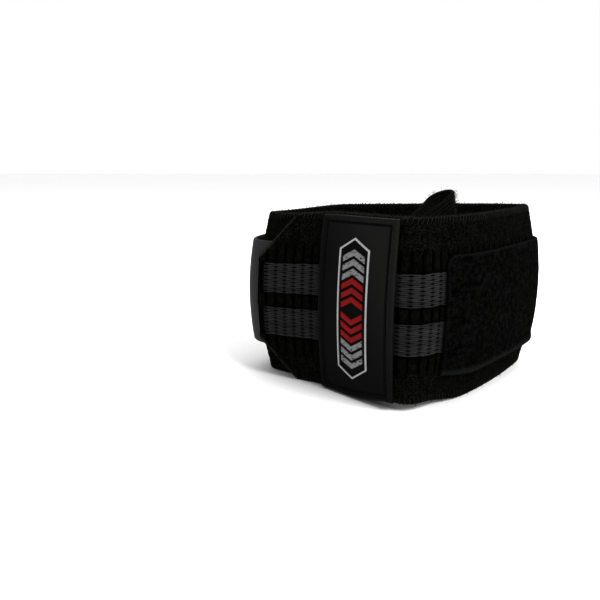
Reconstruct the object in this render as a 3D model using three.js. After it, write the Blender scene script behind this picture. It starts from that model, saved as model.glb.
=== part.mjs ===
// A lifting wrist wrap closed into a ring that stands on its edge, its patch at the front left.
// Millimetres, +Z up, the front towards -Y. Pieces lie along the band: distance, face offset, height.
import * as THREE from 'three';

// Ring in plan, on the inside face of the inner layer
const ringLength = 119;
const ringDepth = 65;
const overlapLength = 71;
const layerGap = 0.4;
const seatGap = 0.35;
const climbShare = 0.55;

// Elastic band
const bandWidth = 78;
const bandThickness = 2.4;
const edgeChamfer = 0.6;
const borderWidth = 13;
const borderSink = 0.25;
const ribPitch = 4.3;
const ribRelief = 0.8;
const ribShoulder = 1.2;
const taperLength = 17;
const tipWidth = 40;

// How the standing band gives way: it swells at mid height, leans in at the top of the right end, sags at
// the left and lifts off the floor at the front; each starts at a share of the way from the middle
const endBulge = 5.2;
const wallBulge = 2.6;
const topLean = 1.6;
const leanFrom = 0.2;
const topDip = 2.4;
const dipFrom = 0.4;
const frontRise = 3;
const riseFrom = 0.5;

// Rubber patch with its moulded badge
const patchWidth = 37.5;
const patchSide = 0.7;
const patchThickness = 1.6;
const patchInset = 15.2;
const patchRim = 1.3;
const patchRimSlope = 0.4;
const patchRimRise = 0.5;
const channelInset = 2.8;
const channelWidth = 1.4;
const channelDepth = 0.4;
const badgeLength = 60;
const badgeWidth = 15.5;
const badgeLine = 0.9;
const badgeRise = 0.6;
const badgePoint = 5;
const chevronGap = 1.1;
const chevronMargin = 1.2;
const chevronRise = 3;
const redChevrons = 3;
const greyChevrons = 3;

// Loop panel, hook tab and thumb loop
const panelLength = 165;
const panelWidth = 50.6;
const panelThickness = 1.5;
const panelBottom = 12.2;
const panelSetback = 18.2;
const panelCorner = 5.5;
const tabWidth = 50;
const tabThickness = 1.5;
const tabLength = 96;
const tabUnderlap = 7;
const tabBottom = 15.5;
const tabStandOff = 7;
const tabRiseLength = 9;
const tabLandFrom = 14;
const tabLandEnd = 42;
const tabCornerDrop = 3.5;
const tabCornerRun = 7;
const tipLift = 3.6;
const loopWidth = 8;
const loopThickness = 1.8;
const loopReach = 29.5;
const loopDepth = 10;
const loopSink = 3;
const loopTail = 9;
const loopLevel = 3;
const loopPitch = 25;
const loopLean = -4;
const loopTwist = 0.5;

// Modelling steps
const coverStep = 6;
const coverTurn = 0.2;
const rowStep = 9;
const baseSamples = 1200;
const badgeSteps = 6;
const loopSteps = 44;

// The ring's inside face at the floor, clockwise from the apex of the front: shares of length and depth
const ringRows = [
  { along: -0.0378, across: -0.5 },
  { along: -0.0929, across: -0.431 },
  { along: -0.2856, across: -0.077 },
  { along: -0.444, across: 0.138 },
  { along: -0.5, across: 0.231 },
  { along: -0.4535, across: 0.317 },
  { along: -0.2388, across: 0.428 },
  { along: -0.0172, across: 0.477 },
  { along: 0.4115, across: 0.5 },
  { along: 0.5, across: 0.435 },
  { along: 0.4204, across: 0.215 },
  { along: 0.151, across: -0.277 },
  { along: 0.0418, across: -0.408 },
];

// The thumb loop's line from its end on the wall to its end on top of that: shares of its reach past the
// band's end (or, when negative, of its tail on the band) and of its depth, and the layer it starts from
const loopRows = [
  { reach: -1, away: 0.02, layer: 0 },
  { reach: -0.7, away: 0.02, layer: 0 },
  { reach: -0.4, away: 0.03, layer: 0 },
  { reach: -0.1, away: 0.05, layer: 0 },
  { reach: 0.05, away: 0.08, layer: 0 },
  { reach: 0.3, away: 0.26, layer: 0 },
  { reach: 0.6, away: 0.3, layer: 0 },
  { reach: 0.84, away: 0.26, layer: 0 },
  { reach: 0.95, away: 0.34, layer: 0.3 },
  { reach: 1, away: 0.54, layer: 0.6 },
  { reach: 0.96, away: 0.82, layer: 0.9 },
  { reach: 0.85, away: 1, layer: 1 },
  { reach: 0.6, away: 0.96, layer: 1 },
  { reach: 0.3, away: 0.6, layer: 1 },
  { reach: 0.05, away: 0.12, layer: 1 },
  { reach: -0.4, away: 0, layer: 1 },
  { reach: -1, away: 0, layer: 1 },
];

// Heights of the elastic's rows as shares of its width between the two borders
const ribRows = [0.25, 0.5, 0.75];

const smoothstep = (value, low, high) => THREE.MathUtils.smoothstep(value, low, high);
const mix = THREE.MathUtils.lerp;

const ringCurve = new THREE.CatmullRomCurve3(
  ringRows.map((row) => new THREE.Vector3(row.along * ringLength, row.across * ringDepth, 0)),
  true,
  'centripetal',
);
ringCurve.arcLengthDivisions = baseSamples;
const ringLoop = ringCurve.getLength();

// One point of the inside face: its place and outward normal, for any length round the ring
function ringAt(length) {
  const turn = THREE.MathUtils.euclideanModulo(length / ringLoop, 1);
  const at = ringCurve.getPointAt(turn);
  const tangent = ringCurve.getTangentAt(turn);
  return { at, normal: new THREE.Vector3(-tangent.y, tangent.x, 0) };
}

// Swell, lean, sag and lift at a point of the plan, from how far it lies towards either end or the front
function setOf(at, height) {
  const side = (2 * at.x) / ringLength;
  const level = height / bandWidth;
  const bulge = mix(wallBulge, endBulge, Math.min(1, side * side));
  const lean = topLean * smoothstep(side, leanFrom, 1);
  const dip = topDip * smoothstep(-side, dipFrom, 1);
  const rise = frontRise * smoothstep((-2 * at.y) / ringDepth, riseFrom, 1);
  return {
    outward: 4 * bulge * level * (1 - level) - lean * level,
    up: height - dip * level + rise * (1 - level),
  };
}

// A strip's path on the ring: offsetAt gives the face offset of its middle from the inside face
class Route {
  constructor(start, end, offsetAt) {
    this.samples = [];
    this.start = start;
    this.end = end;
    let travelled = 0;
    for (let i = 0; i <= baseSamples; i += 1) {
      const length = mix(start, end, i / baseSamples);
      const { at, normal } = ringAt(length);
      const point = at.clone().addScaledVector(normal, offsetAt(length));
      if (i > 0) travelled += point.distanceTo(this.samples[i - 1].point);
      this.samples.push({ travelled, at, point, normal });
    }
    this.length = travelled;
  }

  // The sample before a distance and how far the distance lies towards the next one
  find(distance) {
    const { samples } = this;
    let low = 0;
    let high = samples.length - 1;
    while (high - low > 1) {
      const middle = (low + high) >> 1;
      if (samples[middle].travelled <= distance) low = middle;
      else high = middle;
    }
    const share = (distance - samples[low].travelled) / (samples[high].travelled - samples[low].travelled);
    return { low, share };
  }

  // The length round the ring where a distance along the strip ends
  ringLengthAt(distance) {
    const { low, share } = this.find(distance);
    return mix(this.start, this.end, (low + share) / baseSamples);
  }

  place(distance, offset, height) {
    const { low, share } = this.find(distance);
    const [a, b] = [this.samples[low], this.samples[low + 1]];
    const between = (field) => a[field].clone().lerp(b[field], share);
    const set = setOf(between('at'), height);
    const normal = between('normal').normalize();
    return between('point').addScaledVector(normal, offset + set.outward).setZ(set.up);
  }
}

// The outer layer climbs over the inner one while it comes round the right end, and its tip lifts off
const layerStep = bandThickness + layerGap;
const climbStart = ringLoop * climbShare;
const climbEnd = ringLoop - panelSetback / 2;
const tipFree = taperLength + patchInset;

function tipOffset(pastOverlap) {
  return bandThickness + layerGap + tipLift * smoothstep(pastOverlap, -tipFree, tabUnderlap / 2);
}

function bandOffset(length) {
  const climbed = layerStep * smoothstep(length, climbStart, climbEnd);
  const outer = tipOffset(length - ringLoop - overlapLength);
  return bandThickness / 2 + (length < climbEnd ? climbed : outer);
}

const band = new Route(0, ringLoop + overlapLength, bandOffset);
const patchEnd = band.length - taperLength - patchInset;
const patchStart = patchEnd - patchWidth;
const panelEnd = patchStart - panelSetback;
const panelStart = panelEnd - panelLength;
const ribCrest = bandThickness / 2;

// The tab starts under the tapered end, stands off round the left end and lies on the back
const tabStart = overlapLength - tabUnderlap;
const tabOnWall = bandThickness + seatGap + tabThickness / 2;
const tabOnPanel = tabOnWall + panelThickness + seatGap;
const panelReach = band.ringLengthAt(panelStart);

function tabOffset(length) {
  const past = length - overlapLength;
  const under = tipOffset(past) - seatGap - tabThickness / 2;
  const away = tabStandOff * smoothstep(past, 0, tabRiseLength);
  const landed = smoothstep(past, tabLandFrom, tabLandEnd);
  const over = smoothstep(length, panelReach - panelSetback, panelReach - panelSetback / 4);
  return mix(under + away, mix(tabOnWall, tabOnPanel, over), landed);
}

const tab = new Route(tabStart, tabStart + tabLength, tabOffset);

function meshOf(name, positions, index, material) {
  let volume = 0;
  const corner = (i) => new THREE.Vector3(...positions.slice(3 * i, 3 * i + 3));
  for (let i = 0; i < index.length; i += 3) {
    const [a, b, c] = [corner(index[i]), corner(index[i + 1]), corner(index[i + 2])];
    volume += a.dot(b.cross(c));
  }
  const geometry = new THREE.BufferGeometry();
  geometry.setAttribute('position', new THREE.Float32BufferAttribute(positions, 3));
  geometry.setIndex(volume < 0 ? index.toReversed() : index);
  geometry.computeVertexNormals();
  const mesh = new THREE.Mesh(geometry, new THREE.MeshStandardMaterial(material));
  mesh.name = name;
  return mesh;
}

// Triangles that fill a closed outline, wound as the outline runs
function fillOf(outline) {
  const faces = THREE.ShapeUtils.triangulateShape(outline, []);
  const turn = Math.sign(THREE.ShapeUtils.area(outline));
  return faces.map((face) => {
    const wound = Math.sign(THREE.ShapeUtils.area(face.map((i) => outline[i])));
    return wound === turn ? face : face.toReversed();
  });
}

// A closed body through sections of equal count; each section is an outline and the places of its points
function loft(name, sections, material) {
  const count = sections[0].places.length;
  const positions = sections.flatMap((section) => section.places.flatMap((place) => place.toArray()));
  const index = [];
  for (let i = 0; i + 1 < sections.length; i += 1) {
    for (let j = 0; j < count; j += 1) {
      const a = i * count + j;
      const b = i * count + ((j + 1) % count);
      index.push(a, b, b + count, a, b + count, a + count);
    }
  }
  const last = (sections.length - 1) * count;
  fillOf(sections[0].outline).forEach((face) => index.push(...face.toReversed()));
  fillOf(sections.at(-1).outline).forEach((face) => index.push(...face.map((i) => i + last)));
  return meshOf(name, positions, index, material);
}

// A strip on a route: profileAt gives the outline at a distance, as points of offset and height
function strip(name, route, distances, profileAt, material) {
  const sections = distances.map((distance, i) => {
    const outline = profileAt(distance, i).map(([offset, height]) => new THREE.Vector2(offset, height));
    return { outline, places: outline.map((p) => route.place(distance, p.x, p.y)) };
  });
  return loft(name, sections, material);
}

function spread(start, end, step) {
  const count = Math.max(1, Math.round(Math.abs(end - start) / step));
  return Array.from({ length: count + 1 }, (_, i) => mix(start, end, i / count));
}

// Distances along a route, close together on its bends and wide on its straights
function stations(route, start, end) {
  const distances = [start];
  const inside = route.samples.filter((sample) => sample.travelled > start && sample.travelled < end);
  let from = inside[0];
  for (const sample of inside) {
    const turned = sample.normal.angleTo(from.normal);
    if (turned > coverTurn || sample.travelled - from.travelled > coverStep) {
      distances.push(sample.travelled);
      from = sample;
    }
  }
  if (end - distances.at(-1) < coverStep / 4) distances.pop();
  return [...distances, end];
}

// Each rib takes three stations: its groove and the two shoulders of its crest
function elasticBand() {
  const ribs = Math.round(band.length / ribPitch);
  const pitch = band.length / ribs;
  const shoulder = (ribShoulder * pitch) / ribPitch;
  const distances = [0];
  const crests = [0];
  for (let i = 0; i < ribs; i += 1) {
    distances.push(i * pitch + shoulder, (i + 1) * pitch - shoulder, (i + 1) * pitch);
    crests.push(1, 1, 0);
  }
  const tipNarrowing = (bandWidth - tipWidth) / 2;
  const profile = (distance, i) => {
    const cut = tipNarrowing * Math.max(0, 1 - (band.length - distance) / taperLength);
    const low = cut;
    const high = bandWidth - cut;
    const scale = (high - low) / bandWidth;
    const borderFace = ribCrest - borderSink;
    const ribFace = ribCrest - ribRelief * (1 - crests[i]);
    const ribLow = low + borderWidth * scale;
    const ribHigh = high - borderWidth * scale;
    const inside = -bandThickness / 2;
    return [
      [borderFace - edgeChamfer, low],
      [borderFace, low + edgeChamfer],
      [borderFace, ribLow - edgeChamfer],
      [ribFace, ribLow],
      ...ribRows.map((share) => [ribFace, mix(ribLow, ribHigh, share)]),
      [ribFace, ribHigh],
      [borderFace, ribHigh + edgeChamfer],
      [borderFace, high - edgeChamfer],
      [borderFace - edgeChamfer, high],
      [inside, high],
      [inside, mix(ribHigh, ribLow, ribRows[0])],
      [inside, mix(ribLow, ribHigh, ribRows[0])],
      [inside, low],
    ];
  };
  return strip('elastic_band', band, distances, profile, { color: 0x17181a, roughness: 0.95, metalness: 0 });
}

const patchHeight = bandWidth - 2 * patchSide;

// The patch's face has a raised rim and a sunk channel for its seam, on all four sides
function rubberPatch() {
  const seat = ribCrest + seatGap;
  const face = seat + patchThickness;
  const levels = [
    { inset: 0, rise: patchRimRise },
    { inset: patchRim, rise: patchRimRise },
    { inset: patchRim + patchRimSlope, rise: 0 },
    { inset: channelInset, rise: 0 },
    { inset: channelInset + channelWidth / 2, rise: -channelDepth },
    { inset: channelInset + channelWidth, rise: 0 },
  ];
  const riseAt = (inset) => {
    const outer = levels.findLastIndex((level) => level.inset <= inset + 1e-6);
    const next = levels[outer + 1];
    if (!next) return 0;
    const { inset: from, rise } = levels[outer];
    return mix(rise, next.rise, (inset - from) / (next.inset - from));
  };
  const insets = levels.map((level) => level.inset);
  const edge = insets.at(-1);
  const fromBothEdges = (size, middle) => {
    const far = insets.toReversed().map((inset) => size - inset);
    return [...insets, ...middle.slice(1, -1), ...far];
  };
  const heights = fromBothEdges(patchHeight, spread(edge, patchHeight - edge, rowStep));
  const between = stations(band, patchStart + edge, patchEnd - edge).map((distance) => distance - patchStart);
  const across = fromBothEdges(patchWidth, between);
  const profile = (distance) => {
    const side = Math.min(distance - patchStart, patchEnd - distance);
    const front = heights.map((h) => {
      const rise = riseAt(Math.max(0, Math.min(side, h, patchHeight - h)));
      return [face + rise, patchSide + h];
    });
    const back = spread(patchHeight, 0, rowStep).map((h) => [seat, patchSide + h]);
    return [...front, ...back];
  };
  const distances = across.map((a) => patchStart + a);
  return strip('rubber_patch', band, distances, profile, { color: 0x2b2b2c, roughness: 0.5, metalness: 0 });
}

const badgeCentre = (patchStart + patchEnd) / 2;
const badgeSeat = ribCrest + patchThickness + 2 * seatGap;

// A prism on the patch's face, from an outline of points: across the patch and up from its middle
function patchPrism(name, outline, rise, material) {
  const points = outline.map(([across, up]) => new THREE.Vector2(across, up));
  const layer = (offset) => points.map((p) => band.place(badgeCentre - p.x, offset, bandWidth / 2 + p.y));
  const sections = [badgeSeat, badgeSeat + rise].map((o) => ({ outline: points, places: layer(o) }));
  return loft(name, sections, material);
}

// The badge's outline is a hexagon whose long sides are cut into short steps, so that it follows the swell
function badgeOutline(inset) {
  const half = badgeWidth / 2 - inset;
  const tip = badgeLength / 2 - inset * (Math.hypot(badgeWidth / 2, badgePoint) / (badgeWidth / 2));
  const shoulder = tip - badgePoint;
  const rise = spread(-1, 1, 2 / badgeSteps).map((share) => [half, share * shoulder]);
  return [[0, -tip], ...rise, [0, tip], ...rise.map(([a, up]) => [-a, -up])];
}

// The frame is a closed ribbon of four-cornered sections, from the outline and a smaller copy of it
function badgeFrame() {
  const outer = badgeOutline(0);
  const inner = badgeOutline(badgeLine);
  const top = badgeSeat + badgeRise;
  const count = outer.length;
  const place = ([across, up], offset) => band.place(badgeCentre - across, offset, bandWidth / 2 + up);
  const positions = [];
  outer.forEach((corner, i) => {
    [place(corner, badgeSeat), place(corner, top), place(inner[i], top), place(inner[i], badgeSeat)]
      .forEach((p) => positions.push(...p.toArray()));
  });
  const index = [];
  for (let i = 0; i < count; i += 1) {
    for (let j = 0; j < 4; j += 1) {
      const [a, b] = [4 * i + j, 4 * i + ((j + 1) % 4)];
      const [c, d] = [4 * ((i + 1) % count) + j, 4 * ((i + 1) % count) + ((j + 1) % 4)];
      index.push(a, b, d, a, d, c);
    }
  }
  return meshOf('badge_frame', positions, index, { color: 0xd8d8d6, roughness: 0.5, metalness: 0 });
}

// Chevrons fill the frame from its middle outwards: red ones first, grey ones at both ends
function badgeChevrons() {
  const half = badgeWidth / 2 - badgeLine - chevronMargin;
  const perSide = redChevrons + greyChevrons;
  const reach = badgeLength / 2 - badgeLine - chevronMargin - badgePoint;
  const pitch = reach / perSide;
  const arm = pitch - chevronGap;
  const chevron = (start, side) => [
    [-half, side * start],
    [0, side * (start + chevronRise)],
    [half, side * start],
    [half, side * (start + arm)],
    [0, side * (start + arm + chevronRise)],
    [-half, side * (start + arm)],
  ];
  const meshes = [];
  for (const [where, side] of [['upper', 1], ['lower', -1]]) {
    for (let i = 0; i < perSide; i += 1) {
      const red = i < redChevrons;
      const name = `badge_${red ? 'red' : 'grey'}_${where}_${red ? i + 1 : i + 1 - redChevrons}`;
      const material = { color: red ? 0xb3141a : 0x6d6f70, roughness: 0.5, metalness: 0 };
      meshes.push(patchPrism(name, chevron(i * pitch + chevronGap / 2, side), badgeRise, material));
    }
  }
  return meshes;
}

// A flat strip with rows close enough to follow the swell, its corners cut by the given amounts
function coverProfile(width, bottom, seat, thickness, cutAt) {
  return (distance) => {
    const { low, high } = cutAt(distance);
    const heights = spread(0, width, rowStep).map((up) => bottom + mix(low, width - high, up / width));
    return [
      ...heights.map((height) => [seat + thickness, height]),
      ...heights.toReversed().map((height) => [seat, height]),
    ];
  };
}

function loopPanel() {
  const cutAt = (distance) => ({
    low: 0,
    high: panelCorner * Math.max(0, 1 - (panelEnd - distance) / panelCorner),
  });
  const profile = coverProfile(panelWidth, panelBottom, ribCrest + seatGap, panelThickness, cutAt);
  const distances = [...stations(band, panelStart, panelEnd - panelCorner), panelEnd];
  return strip('loop_panel', band, distances, profile, { color: 0x0b0b0c, roughness: 1, metalness: 0 });
}

function hookTab() {
  const cutAt = (distance) => {
    const cut = tabCornerDrop * Math.max(0, 1 - (tab.length - distance) / tabCornerRun);
    return { low: cut, high: cut };
  };
  const profile = coverProfile(tabWidth, tabBottom, -tabThickness / 2, tabThickness, cutAt);
  const distances = [...stations(tab, 0, tab.length - tabCornerRun), tab.length];
  return strip('hook_tab', tab, distances, profile, { color: 0x3a3b3c, roughness: 0.6, metalness: 0 });
}

// A flat ribbon's section with rounded edges
function loopOutline() {
  const [width, thickness, corner] = [loopWidth / 2, loopThickness / 2, loopThickness / 4];
  const quarter = [[width, thickness - corner], [width - corner, thickness]];
  const half = [...quarter, ...quarter.toReversed().map(([x, y]) => [-x, y])];
  return [...half, ...half.map(([x, y]) => [-x, -y])].map(([x, y]) => new THREE.Vector2(x, y));
}

// The thumb loop is sewn inside the band's inner end: both its ends lie there, and its bend rises above
// the edge, leaning a little inwards
function thumbLoop() {
  const wall = new Route(-2 * loopReach, 2 * loopTail, () => 0);
  const bandEnd = (wall.length * loopReach) / (loopReach + loopTail);
  const lean = THREE.MathUtils.degToRad(loopLean);
  const slope = Math.tan(THREE.MathUtils.degToRad(loopPitch));
  const rows = loopRows.map(({ reach, away, layer }) => {
    const along = reach * (reach < 0 ? loopTail : loopReach);
    const stand = layer * (loopThickness + seatGap) + away * loopDepth;
    const twist = lean * smoothstep(reach, 0, loopTwist);
    const raised = slope * Math.max(0, along - loopLevel) + Math.sin(twist) * stand;
    const height = bandWidth - loopSink - loopWidth / 2 + raised;
    const inside = -seatGap - loopThickness / 2 - stand;
    const point = wall.place(bandEnd - along, inside, height);
    const up = wall.place(bandEnd - along, inside, height + 1).sub(point);
    const outward = wall.place(bandEnd - along, inside + 1, height).sub(point);
    const wide = up.normalize().multiplyScalar(Math.cos(twist)).addScaledVector(outward, Math.sin(twist));
    return { point, wide };
  });
  const curve = new THREE.CatmullRomCurve3(rows.map((row) => row.point), false, 'centripetal');
  const sections = spread(0, 1, 1 / loopSteps).map((share) => {
    const at = curve.getPointAt(share);
    const tangent = curve.getTangentAt(share);
    const row = curve.getUtoTmapping(share) * (rows.length - 1);
    const next = Math.min(Math.floor(row) + 1, rows.length - 1);
    const leaning = rows[next - 1].wide.clone().lerp(rows[next].wide, row - next + 1);
    const thin = new THREE.Vector3().crossVectors(tangent, leaning).normalize();
    const wide = new THREE.Vector3().crossVectors(thin, tangent);
    const outline = loopOutline();
    const places = outline.map((p) => at.clone().addScaledVector(wide, p.x).addScaledVector(thin, p.y));
    return { outline, places };
  });
  return loft('thumb_loop', sections, { color: 0x1b1c1d, roughness: 0.9, metalness: 0 });
}

const wrap = new THREE.Group();
wrap.add(elasticBand(), rubberPatch(), badgeFrame(), ...badgeChevrons(), loopPanel(), hookTab(), thumbLoop());

// The origin is the middle of the part's box, at the floor
const box = new THREE.Box3().setFromObject(wrap);
const centre = box.getCenter(new THREE.Vector3());
wrap.position.set(-centre.x, -centre.y, -box.min.z);

export default wrap;
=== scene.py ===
import math

import bpy
import numpy as np
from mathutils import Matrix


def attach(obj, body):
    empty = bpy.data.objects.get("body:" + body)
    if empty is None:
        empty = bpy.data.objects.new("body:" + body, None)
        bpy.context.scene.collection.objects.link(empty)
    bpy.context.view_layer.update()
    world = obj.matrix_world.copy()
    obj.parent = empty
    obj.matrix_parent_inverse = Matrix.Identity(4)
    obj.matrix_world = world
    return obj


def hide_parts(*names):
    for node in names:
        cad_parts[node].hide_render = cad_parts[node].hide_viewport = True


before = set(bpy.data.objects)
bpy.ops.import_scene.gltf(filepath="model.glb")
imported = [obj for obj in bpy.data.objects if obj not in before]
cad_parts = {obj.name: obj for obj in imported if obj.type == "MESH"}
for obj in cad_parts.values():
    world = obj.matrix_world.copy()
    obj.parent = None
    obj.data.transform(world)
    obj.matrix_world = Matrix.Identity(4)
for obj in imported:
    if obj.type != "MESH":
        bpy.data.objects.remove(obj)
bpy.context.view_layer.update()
mm = 0.001

# the camera: a 35 mm lens a little above the wrap, before its front
camera = {"place": (-46.5, -254.72, 98.9), "down": 13.6, "lens": 34.8, "sensor": 36}

cameraData = bpy.data.cameras.new("camera")
cameraData.lens, cameraData.sensor_width = camera["lens"], camera["sensor"]
cameraData.clip_start, cameraData.clip_end = 0.01, 20
cameraObject = bpy.data.objects.new("camera", cameraData)
cameraObject.location = [v * mm for v in camera["place"]]
cameraObject.rotation_euler = (math.radians(90 - camera["down"]), 0, 0)
bpy.context.scene.collection.objects.link(cameraObject)
bpy.context.scene.camera = cameraObject


def smooth(value, low, high):
    # nought below low, one above high, an even S between them
    share = np.clip((value - low) / (high - low), 0, 1)
    return share * share * (3 - 2 * share)


def mixed(low, high, share):
    return low + (high - low) * share


def lengthOf(points):
    # how far along a row of points each one lies
    steps = np.linalg.norm(np.diff(points, axis=0), axis=1)
    return np.concatenate([[0], np.cumsum(steps)])


def along(places, known, values):
    # values between known places, for each column of the values
    return np.stack([np.interp(places, known, values[:, i]) for i in range(values.shape[1])], -1)


def unit(vectors):
    return vectors / np.linalg.norm(vectors, axis=-1, keepdims=True)


def bentThrough(rows, closed, steps):
    # a smooth line through the rows: each stretch is a cubic whose end slopes come from its neighbours
    if closed:
        before, start, end, after = (np.roll(rows, n, 0) for n in (1, 0, -1, -2))
    else:
        ends = np.vstack([2 * rows[:1] - rows[1:2], rows, 2 * rows[-1:] - rows[-2:-1]])
        before, start, end, after = ends[:-3], ends[1:-2], ends[2:-1], ends[3:]
    spans = ((before, start), (start, end), (end, after))
    g0, g1, g2 = (np.linalg.norm(b - a, axis=1)[:, None] ** 0.5 for a, b in spans)
    leaving = ((start - before) / g0 - (end - before) / (g0 + g1) + (end - start) / g1) * g1
    arriving = ((end - start) / g1 - (after - start) / (g1 + g2) + (after - end) / g2) * g1
    square = 3 * (end - start) - 2 * leaving - arriving
    cube = 2 * (start - end) + leaving + arriving
    t = np.linspace(0, 1, steps, endpoint=False)[None, :, None]
    path = start[:, None] + t * (leaving[:, None] + t * (square[:, None] + t * cube[:, None]))
    return np.vstack([path.reshape(-1, rows.shape[1]), end[-1:]])


def grain(u, v, cell, seed):
    # soft random hills from -1 to 1, about one to a cell, the same each run
    table = np.random.default_rng(seed).uniform(-1, 1, (64, 64))
    x, y = u / cell, v / cell
    i, j = np.floor(x).astype(int), np.floor(y).astype(int)
    s, t = smooth(x - i, 0, 1), smooth(y - j, 0, 1)
    at = lambda a, b: table[(i + a) % 64, (j + b) % 64]
    return mixed(mixed(at(0, 0), at(1, 0), s), mixed(at(0, 1), at(1, 1), s), t)


# the ring that every layer follows, in millimetres as the solids have it
ring = {
    "length": 119, "depth": 65, "overlap": 71, "layerGap": 0.4, "seatGap": 0.35, "climbFrom": 0.55,
    "endSwell": 5.2, "wallSwell": 2.6, "topLean": 1.6, "leanFrom": 0.2, "topDip": 2.4, "dipFrom": 0.4,
    "frontRise": 3, "riseFrom": 0.5, "centre": (-1.5019, 0.7243), "steps": 400, "samples": 4801,
}
ringRows = np.array([
    (-0.0378, -0.5), (-0.0929, -0.431), (-0.2856, -0.077), (-0.444, 0.138), (-0.5, 0.231),
    (-0.4535, 0.317), (-0.2388, 0.428), (-0.0172, 0.477), (0.4115, 0.5), (0.5, 0.435),
    (0.4204, 0.215), (0.151, -0.277), (0.0418, -0.408),
]) * (ring["length"], ring["depth"])
ringPath = bentThrough(ringRows, True, ring["steps"])
ringReach = lengthOf(ringPath)
ringLoop = ringReach[-1]
ringNormals = unit(np.gradient(ringPath, ringReach, axis=0)) @ np.array([(0, 1), (-1, 0)])
ringNormals[[0, -1]] = unit(ringNormals[[1]] + ringNormals[[-2]])

band = {
    "width": 78, "thickness": 2.4, "border": 13, "pitch": 4.3, "taper": 17, "tip": 40,
    "edge": 0.95, "borderFace": 0.84, "stripe": 13.6, "ribStrip": 9, "stripeFace": 0.55,
    "groove": 0.9, "grooveFrom": 0.02, "grooveEnd": 0.13, "crown": 0.14, "uneven": 0.9,
    "meet": 1.1, "meetEnd": 1.3, "ribFuzz": 0.06, "borderFuzz": 0.05, "endRound": 0.5,
    "hemRun": 1, "hemWidth": (1.4, 2.2), "hemRubbed": 0.9, "rimRubbed": 0.45,
    "stations": (0, 0.06, 0.12, 0.2, 0.36, 0.64, 0.8, 0.88, 0.94), "rowStep": 1.6, "evenOver": 300,
}
patch = {"width": 37.5, "height": 76.6, "thickness": 1.6, "inset": 15.2}
panel = {"length": 165, "width": 50.6, "thickness": 1.5, "bottom": 12.2, "setback": 18.2, "corner": 5.5}
tab = {
    "length": 96, "width": 50, "thickness": 1.5, "bottom": 15.5, "underlap": 7, "standOff": 7, "rise": 9,
    "landFrom": 14, "landEnd": 42, "tipLift": 3.6, "cornerDrop": 3.5, "cornerRun": 7,
}


def ringAt(length):
    around = np.mod(length, ringLoop)
    return along(around, ringReach, ringPath), unit(along(around, ringReach, ringNormals))


def givenWay(foot, height):
    # the wall swells at mid height, leans in at the right, sags at the left and lifts in front
    side, level = 2 * foot[..., 0] / ring["length"], height / band["width"]
    swell = mixed(ring["wallSwell"], ring["endSwell"], np.minimum(1, side * side))
    lean = ring["topLean"] * smooth(side, ring["leanFrom"], 1)
    dip = ring["topDip"] * smooth(-side, ring["dipFrom"], 1)
    rise = ring["frontRise"] * smooth(-2 * foot[..., 1] / ring["depth"], ring["riseFrom"], 1)
    return 4 * swell * level * (1 - level) - lean * level, height - dip * level + rise * (1 - level)


class Route:
    # a strip's way round the ring: distances are along its own middle line, offsets out from it
    def __init__(self, start, end, offsetAt):
        self.lengths = np.linspace(start, end, ring["samples"])
        self.foot, self.normal = ringAt(self.lengths)
        self.point = self.foot + self.normal * offsetAt(self.lengths)[:, None]
        self.travelled = lengthOf(self.point)
        self.length = self.travelled[-1]

    def place(self, distance, offset, height):
        distance, offset, height = np.broadcast_arrays(distance, offset, height)
        foot, point = along(distance, self.travelled, self.foot), along(distance, self.travelled, self.point)
        normal = unit(along(distance, self.travelled, self.normal))
        outward, up = givenWay(foot, height)
        flat = point + normal * (offset + outward)[..., None] - ring["centre"]
        return np.concatenate([flat, up[..., None]], -1) * mm


layerStep = band["thickness"] + ring["layerGap"]
climbStart, climbEnd = ringLoop * ring["climbFrom"], ringLoop - panel["setback"] / 2
tipFree = band["taper"] + patch["inset"]


def tipOffset(past):
    return layerStep + tab["tipLift"] * smooth(past, -tipFree, tab["underlap"] / 2)


def bandOffset(length):
    climbed = layerStep * smooth(length, climbStart, climbEnd)
    outer = tipOffset(length - ringLoop - ring["overlap"])
    return band["thickness"] / 2 + np.where(length < climbEnd, climbed, outer)


bandRoute = Route(0, ringLoop + ring["overlap"], bandOffset)
crest = band["thickness"] / 2
patchEnd = bandRoute.length - band["taper"] - patch["inset"]
patchStart = patchEnd - patch["width"]
panelEnd = patchStart - panel["setback"]
panelStart = panelEnd - panel["length"]
tabOnWall = band["thickness"] + ring["seatGap"] + tab["thickness"] / 2
tabOnPanel = tabOnWall + panel["thickness"] + ring["seatGap"]
panelReach = np.interp(panelStart, bandRoute.travelled, bandRoute.lengths)


def tabOffset(length):
    past = length - ring["overlap"]
    bow = tab["standOff"] * smooth(past, 0, tab["rise"])
    under = tipOffset(past) - ring["seatGap"] - tab["thickness"] / 2 + bow
    over = smooth(length, panelReach - panel["setback"], panelReach - panel["setback"] / 4)
    return mixed(under, mixed(tabOnWall, tabOnPanel, over), smooth(past, tab["landFrom"], tab["landEnd"]))


tabStart = ring["overlap"] - tab["underlap"]
tabRoute = Route(tabStart, tabStart + tab["length"], tabOffset)
print("ring laid out: loop", round(ringLoop, 1), "mm, band", round(bandRoute.length, 1), "mm")


# meshes
def quadsOf(index):
    # the four corners of each cell of a grid of point numbers
    return np.stack([index[:-1, :-1], index[1:, :-1], index[1:, 1:], index[:-1, 1:]], -1).reshape(-1, 4)


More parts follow.
